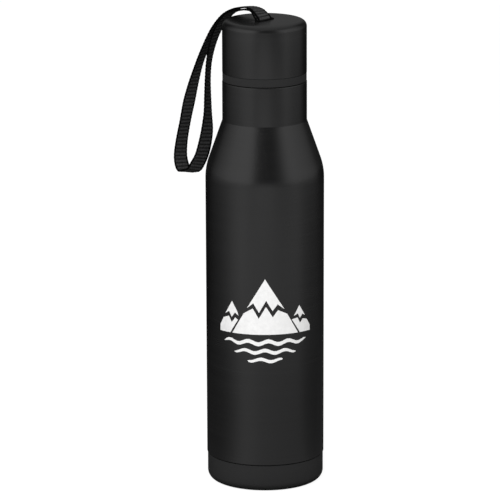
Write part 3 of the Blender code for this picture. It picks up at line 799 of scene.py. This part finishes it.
def strap_mesh():
    ribs, rib_count, middle, width_dir, face_dir = strap_frames()
    section = strap_section()
    crown = np.cos(2 * np.pi * rib_count)
    hump = np.sign(crown) * np.abs(crown) ** 0.8
    half_w, half_t = WEB_W / 2, WEB_T / 2
    flat_half = half_w * FLAT_SHARE
    edge_r = half_t * 0.88
    edge_thinning, sink = 0.10, 0.02
    face_relief, edge_relief, yarn_relief = 0.065, 0.07, 0.022
    count, around = len(rib_count), len(section)
    verts = np.zeros((count, around, 3))
    uvs = np.zeros((count, around, 2))
    for j, (v, face, angle) in enumerate(section):
        if angle is None:
            # The ribs swell both faces together.  The warp ends stand out most
            # on the crowns of the top face and in the valleys of the underside.
            yarn = math.cos(2 * math.pi * v * WARP_ENDS / 2)
            body = half_t * (1 - edge_thinning * abs(v) ** 6)
            reach = v * half_w
            offset = (face * (body - sink + face_relief * hump)
                      + face * yarn_relief * yarn * (0.4 + 0.6 * (crown * face > 0)))
        else:
            reach = v * (flat_half
                         + (half_w - flat_half + edge_relief * hump) * abs(math.cos(angle)))
            offset = edge_r * math.sin(angle)
        verts[:, j] = (middle + width_dir * np.reshape(reach, (-1, 1))
                       + face_dir * np.reshape(offset, (-1, 1)))
        uvs[:, j, 0] = rib_count
        uvs[:, j, 1] = v * WARP_ENDS / 2
    faces = []
    for i in range(count):
        i2 = (i + 1) % count
        for j in range(around):
            j2 = (j + 1) % around
            faces.append((i * around + j, i2 * around + j, i2 * around + j2, i * around + j2))
    part = mesh_object("carry_strap", verts.reshape(-1, 3) * MM, faces, WEB, sharp=60)
    add_strap_uv(part.data, uvs.reshape(-1, 2), ribs)
    return part


strap = strap_mesh()
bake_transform(strap)
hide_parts("strap_loop", "strap_tail")

# ================================================================ the print
PRINT_Z = 99.3                    # height of the print's origin
PRINT_LIFT, INK_FILM = 0.03, 0.06 # gap to the wall, ink thickness
# Outlines of a mountain mark, laid flat: x round the body, y up.
PRINT_OUTLINES = [
    # middle peak: cap, body
    [(0, 24.5), (-3.2, 19.2), (-10.2, 7.6), (-6.6, 10.6), (-3.4, 5.2), (0.6, 12.2),
     (4.2, 6.2), (7.0, 10.0), (10.9, 7.0), (3.6, 18.6)],
    [(-12.0, 4.6), (-6.9, 7.6), (-3.5, 1.8), (0.5, 8.6), (4.3, 2.6), (7.2, 6.6),
     (12.5, 4.2), (19.3, -7.4), (-19.2, -7.4)],
    # left peak: cap, body
    [(-19.4, 10.8), (-24.0, 3.2), (-21.4, 4.8), (-19.6, 1.6), (-17.5, 4.4), (-15.3, 2.8),
     (-16.0, 5.2)],
    [(-25.4, 0.6), (-21.6, 2.0), (-19.6, -1.4), (-17.3, 1.5), (-15.6, 0.4),
     (-20.6, -7.4), (-28.0, -7.4), (-28.0, -4.0)],
    # right peak: cap, body
    [(20.2, 8.2), (16.6, 2.4), (19.2, 3.6), (20.6, 0.8), (22.4, 3.0), (24.2, 1.8)],
    [(15.4, 0.6), (19.0, 1.2), (20.7, -2.0), (22.7, 0.2), (25.6, -0.6),
     (28.0, -4.4), (28.0, -7.4), (20.6, -7.4)]]
# Wavy bands under the peaks: y, half length, wave height, thickness.
PRINT_BANDS = [(-12.0, 25.0, 0.9, 2.3), (-17.2, 18.0, 0.8, 2.1), (-22.2, 10.0, 0.7, 1.9)]


def band_outline(y, half, wave, thick, steps=28):
    top, bottom = [], []
    for k in range(steps + 1):
        x = -half + 2 * half * k / steps
        fade = math.sqrt(max(1 - (x / half) ** 2, 0)) ** 0.6
        middle = y + wave * math.sin(x * 0.55 + y)
        top.append((x, middle + thick / 2 * fade))
        bottom.append((x, middle - thick / 2 * fade))
    return top + bottom[::-1][1:-1]


def wrap_on_body(flat):
    """Place a flat print point on the tapering front wall."""
    angle = flat.x / BODY_R
    z = PRINT_Z + flat.y
    wall_r = (BODY_R + (BODY_TOP_R - BODY_R) * (z - BASE_SEAM_Z)
              / (CONE_BOTTOM_Z - BASE_SEAM_Z))
    r = wall_r + PRINT_LIFT + flat.z
    return Vector((r * math.sin(angle), -r * math.cos(angle), z)) * MM


def front_print():
    """Ink film wrapped on the front of the body, with its own thickness."""
    edit = bmesh.new()
    for outline in PRINT_OUTLINES + [band_outline(*band) for band in PRINT_BANDS]:
        verts = [edit.verts.new((x, y, 0)) for x, y in outline]
        edges = [edit.edges.new(ends) for ends in zip(verts, verts[1:] + verts[:1])]
        bmesh.ops.triangle_fill(edit, edges=edges, use_beauty=True, normal=(0, 0, 1))
    for x in np.arange(-28.5, 28.6, 1.0):          # cuts so that it can bend
        bmesh.ops.bisect_plane(edit, geom=edit.verts[:] + edit.edges[:] + edit.faces[:],
                               plane_co=(float(x), 0, 0), plane_no=(1, 0, 0), dist=1e-5)
    bmesh.ops.remove_doubles(edit, verts=edit.verts, dist=1e-4)
    for face in edit.faces:
        if face.normal.z < 0:
            face.normal_flip()
    extruded = bmesh.ops.extrude_face_region(edit, geom=edit.faces[:])
    for item in extruded["geom"]:
        if isinstance(item, bmesh.types.BMVert):
            item.co.z += INK_FILM
    for vert in edit.verts:
        vert.co = wrap_on_body(vert.co)
    bmesh.ops.recalc_face_normals(edit, faces=edit.faces)
    mesh = bpy.data.meshes.new("front_print")
    edit.to_mesh(mesh)
    edit.free()
    return add_object("front_print", mesh, INK, sharp=40)


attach(front_print(), "bottle")

# ================================= CAD nodes that stay, with their finishes
for node_name, material in (
        ("vacuum_base", STEEL), ("vacuum_seal_bead", GLASS), ("getter_pill", GETTER),
        ("radiation_foil", COPPER), ("stopper_foam", FOAM), ("stopper_cap", PLASTIC),
        ("anchor_bracket", HARDWARE), ("anchor_screw_a", HARDWARE),
        ("anchor_screw_b", HARDWARE), ("strap_pin", HARDWARE), ("pin_clip", HARDWARE)):
    cad_part = frame["nodes"][node_name]
    for material_slot in cad_part.material_slots:
        material_slot.material = material
    if not cad_part.material_slots:
        cad_part.data.materials.append(material)

# ==================================================================== stage
# Brightness of the studio by compass direction round the bottle: degrees from
# the camera's side (positive to the right), strength.
WALLS = [
    (-180, .17), (-168, .13), (-155, .02), (-130, .015), (-114, .29), (-92, .78), (-74, 1.22),
    (-56, 1.38), (-40, 1.46), (-29, 1.38), (-17, .38), (-4, .12), (18, .10), (33, .40),
    (44, 1.04), (57, 1.35), (74, 1.13), (92, .87), (114, .44), (130, .09), (155, .02),
    (168, .13), (180, .17)]
TABLE_OUT = [
    (-180, .10), (-168, .05), (-156, 0), (-130, .005), (-104, .21), (-77, .42), (-58, .56),
    (-40, .61), (-23, .34), (-7, .65), (9, .62), (26, .31), (43, .25), (61, .53), (81, .35),
    (106, .26), (130, .015), (156, .01), (168, .06), (180, .10)]
TABLE_FAR = [
    (-180, .10), (-168, .05), (-156, 0), (-130, .005), (-104, .16), (-77, .38), (-58, .58),
    (-40, .70), (-23, .62), (-7, .93), (9, .91), (26, .51), (43, .35), (61, .58), (81, .41),
    (106, .23), (124, .03), (136, 0), (156, 0), (168, .05), (180, .10)]
TABLE_MID = [
    (-180, .10), (-168, .05), (-156, 0), (-143, 0), (-130, .01), (-115, .04), (-105, .08),
    (-92, .15), (-80, .28), (-70, .46), (-58, .67), (-45, .83), (-33, .74), (3, .70),
    (27, .65), (51, .61), (67, .55), (80, .30), (96, .17), (116, .09), (130, .04),
    (142, .02), (156, .01), (168, .05), (180, .10)]
TABLE_NEAR = [
    (-180, .10), (-168, .06), (-156, .02), (-143, .02), (-124, .03), (-105, .05), (-87, .08),
    (-72, .155), (-58, .29), (-45, .50), (-33, .60), (-21, .56), (-8, .475), (5, .45),
    (27, .41), (51, .37), (65, .33), (80, .17), (96, .10), (116, .06), (130, .055),
    (142, .03), (168, .06), (180, .10)]
RAMP_TOP = 1.5                    # strength that a ramp colour of 1 stands for

# Distances from the bottle's axis, in metres, over which the floor changes.
# Painted shadow in the floor's glow right under the bottle, which reflections see.
PAINTED_CONTACT_SHADOW = (0.033, 0.047)     # dark under the bottle
TO_MID, TO_FAR, TO_OUT, TO_WALLS = (0.20, 0.46), (0.74, 1.0), (1.12, 1.28), (2.6, 4.0)


class Studio(Graph):
    """Shader tree of the surroundings, which vary by compass direction."""

    def __init__(self, tree):
        super().__init__(tree)
        tree.nodes.clear()

    def compass(self, x, y):
        """0..1 round the bottle, 0.5 on the camera's side."""
        angle = self.op("ARCTAN2", x, self.op("MULTIPLY", y, -1.0))
        return self.op("MULTIPLY_ADD", angle, 1 / (2 * math.pi), 0.5)

    def ramp(self, turn, stops):
        node = self.add("ShaderNodeValToRGB")
        color_ramp = node.color_ramp
        elements = color_ramp.elements
        color_ramp.interpolation = "LINEAR"
        while len(elements) > 1:
            elements.remove(elements[-1])
        for i, (degrees, strength) in enumerate(stops):
            position = (degrees + 180) / 360
            stop = elements[0] if i == 0 else elements.new(position)
            stop.position = position
            stop.color = (*grey(strength / RAMP_TOP), 1)
        self.link(turn, node.inputs[0])
        return self.op("MULTIPLY", node.outputs[0], RAMP_TOP)

    def blend(self, factor, start, end):
        """start where factor is 0, end where it is 1."""
        return self.op("ADD", self.op("MULTIPLY", start, self.op("SUBTRACT", 1.0, factor)),
                       self.op("MULTIPLY", end, factor))

    def output(self, kind, lighting, seen):
        """The camera sees one shader, all other rays meet the other."""
        rays = self.add("ShaderNodeLightPath")
        choose = self.add("ShaderNodeMixShader")
        self.link(rays.outputs["Is Camera Ray"], choose.inputs[0])
        self.link(lighting.outputs[0], choose.inputs[1])
        self.link(seen.outputs[0], choose.inputs[2])
        self.link(choose.outputs[0], self.add(kind).inputs[0])


def floor_material():
    """Plain pale floor for the camera; reflections see the studio's brightness."""
    material = bpy.data.materials.new("pale_floor")
    material.use_nodes = True
    graph = Studio(material.node_tree)
    x, y, _ = graph.split_xyz(graph.add("ShaderNodeNewGeometry").outputs["Position"])
    turn = graph.compass(x, y)
    distance = graph.op("SQRT", graph.op("ADD", graph.op("MULTIPLY", x, x),
                                         graph.op("MULTIPLY", y, y)))
    near, mid, far, out = [graph.ramp(turn, stops) for stops in
                           (TABLE_NEAR, TABLE_MID, TABLE_FAR, TABLE_OUT)]
    # Painted shadow: the glow is dark right under the bottle.
    table = graph.op("MULTIPLY", near, graph.ease(distance, PAINTED_CONTACT_SHADOW))
    for span, outer in ((TO_MID, mid), (TO_FAR, far), (TO_OUT, out)):
        table = graph.blend(graph.ease(distance, span), table, outer)
    table = graph.blend(graph.ease(distance, TO_WALLS), table, graph.ramp(turn, WALLS))
    glow = graph.add("ShaderNodeEmission")
    graph.link(table, glow.inputs["Strength"])
    plain = graph.add("ShaderNodeEmission")
    plain.inputs["Strength"].default_value = 0.93
    matte = graph.add("ShaderNodeBsdfDiffuse")
    matte.inputs["Color"].default_value = (*grey(0.16), 1)
    seen = graph.add("ShaderNodeAddShader")
    graph.link(plain.outputs[0], seen.inputs[0])
    graph.link(matte.outputs[0], seen.inputs[1])
    graph.output("ShaderNodeOutputMaterial", lighting=glow, seen=seen)
    return material


def add_floor():
    half, z = 14, -0.0002                     # metres; just under the foot pad
    mesh = bpy.data.meshes.new("floor")
    mesh.from_pydata([(-half, -half, z), (half, -half, z), (half, half, z), (-half, half, z)],
                     [], [(0, 1, 2, 3)])
    floor = bpy.data.objects.new("floor", mesh)
    scene.collection.objects.link(floor)
    mesh.materials.append(floor_material())
    floor.visible_shadow = False


add_floor()


# ================================================================= lighting
def radians_span(low, high):
    return (math.radians(low), math.radians(high))


def studio_world():
    """Walls by compass direction, a soft ceiling, and white for the camera."""
    ceiling_edge = radians_span(31, 48)       # rise where the walls give way
    ceiling_rise, ceiling_glow = radians_span(10, 85), (0.22, 0.72)
    back_sides = (138.0, 165.0)               # degrees off the camera's side
    back_rise = radians_span(12, 34)          # the ceiling comes lower behind
    world = bpy.data.worlds.new("studio")
    scene.world = world
    world.use_nodes = True
    graph = Studio(world.node_tree)
    x, y, z = graph.split_xyz(graph.add("ShaderNodeTexCoord").outputs["Generated"])
    turn = graph.compass(x, y)
    rise = graph.op("ARCSINE", z)
    walls = graph.ramp(turn, WALLS)
    high = graph.ease(rise, ceiling_edge)
    side = graph.op("ABSOLUTE", graph.op("MULTIPLY_ADD", turn, 360.0, -180.0))
    behind = graph.op("MULTIPLY", graph.ease(side, back_sides), graph.ease(rise, back_rise))
    high = graph.op("MAXIMUM", high, behind)
    sky = graph.blend(high, walls, graph.ease(rise, ceiling_rise, to=ceiling_glow))
    lighting = graph.add("ShaderNodeBackground")
    graph.link(sky, lighting.inputs["Strength"])
    white = graph.add("ShaderNodeBackground")
    white.inputs["Strength"].default_value = 1.0
    graph.output("ShaderNodeOutputWorld", lighting=lighting, seen=white)


def soft_box(name, place, aim, size, power):
    """Large soft box that lights matt surfaces only; the glossy ones see the
    studio walls instead."""
    data = bpy.data.lights.new(name, "AREA")
    data.shape = "DISK"
    data.size = size
    data.energy = power
    data.specular_factor = 0.0
    lamp = bpy.data.objects.new(name, data)
    scene.collection.objects.link(lamp)
    lamp.location = place
    lamp.rotation_euler = (Vector(aim) - Vector(place)).to_track_quat("-Z", "Y").to_euler()
    lamp.visible_glossy = False
    lamp.visible_camera = False


studio_world()
soft_box("soft_key", place=(-0.35, -2.4, 1.6), aim=(0, 0, 0.14), size=1.2, power=60.0)


# ================================================================== camera
def add_camera():
    """Long lens from the front, looking slightly down."""
    look_down, roll = 13.6, -0.131            # degrees
    data = bpy.data.cameras.new("camera")
    camera = bpy.data.objects.new("camera", data)
    scene.collection.objects.link(camera)
    camera.location = (0, -2.36006, 0.70905)
    camera.rotation_euler = (Matrix.Rotation(math.radians(90 - look_down), 3, "X")
                             @ Matrix.Rotation(math.radians(roll), 3, "Z")).to_euler()
    data.sensor_width = 36
    data.lens = 311.1408
    data.shift_x = -0.0298
    data.shift_y = -0.019448
    data.clip_end = 60
    scene.camera = camera


add_camera()
scene.view_settings.view_transform = "Standard"
scene.view_settings.look = "None"
scene.view_settings.exposure = 0
scene.view_settings.gamma = 1
